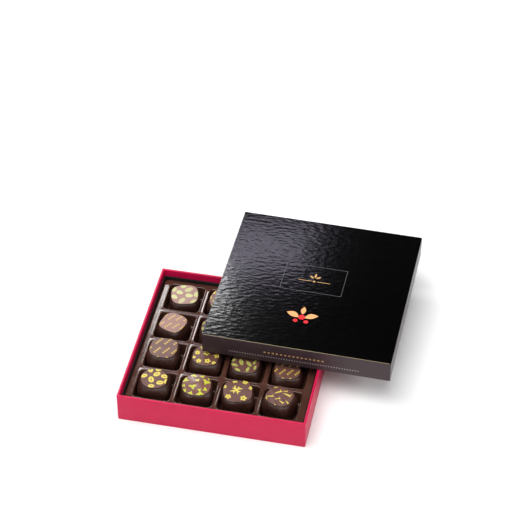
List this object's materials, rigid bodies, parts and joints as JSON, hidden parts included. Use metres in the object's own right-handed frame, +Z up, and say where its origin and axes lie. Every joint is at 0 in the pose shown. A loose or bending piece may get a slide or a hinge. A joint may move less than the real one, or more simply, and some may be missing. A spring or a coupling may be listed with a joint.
{
  "type": "box of chocolate pralines",
  "caption": "Open square gift box of chocolate pralines in a pocketed insert, with its flat black lid lying across one corner.",
  "frame": {"origin": "centre of the box's underside, which rests on the table", "axes": "+Z up out of the open box; -Y is the side where the open pockets show, and the lid lies towards +X and +Y"},
  "size_m": [0.2232, 0.2272, 0.0478],
  "materials": {
    "wrap_red": "gloss",
    "card_black": "matte",
    "sheet_brown": "gloss",
    "lid_black": "gloss",
    "chocolate": "satin"
  },
  "bodies": {
    "root": {"box_base": "wrap_red", "wall_liner": "card_black", "praline_tray": "sheet_brown", "lid": "lid_black", "praline_r1_c1": "chocolate", "praline_r1_c2": "chocolate", "praline_r1_c3": "chocolate", "praline_r1_c4": "chocolate", "praline_r2_c1": "chocolate", "praline_r2_c2": "chocolate", "praline_r2_c3": "chocolate", "praline_r2_c4": "chocolate", "praline_r3_c1": "chocolate", "praline_r3_c2": "chocolate", "praline_r3_c3": "chocolate", "praline_r3_c4": "chocolate", "praline_r4_c1": "chocolate", "praline_r4_c2": "chocolate", "praline_r4_c3": "chocolate", "praline_r4_c4": "chocolate"}
  },
  "joints": []
}
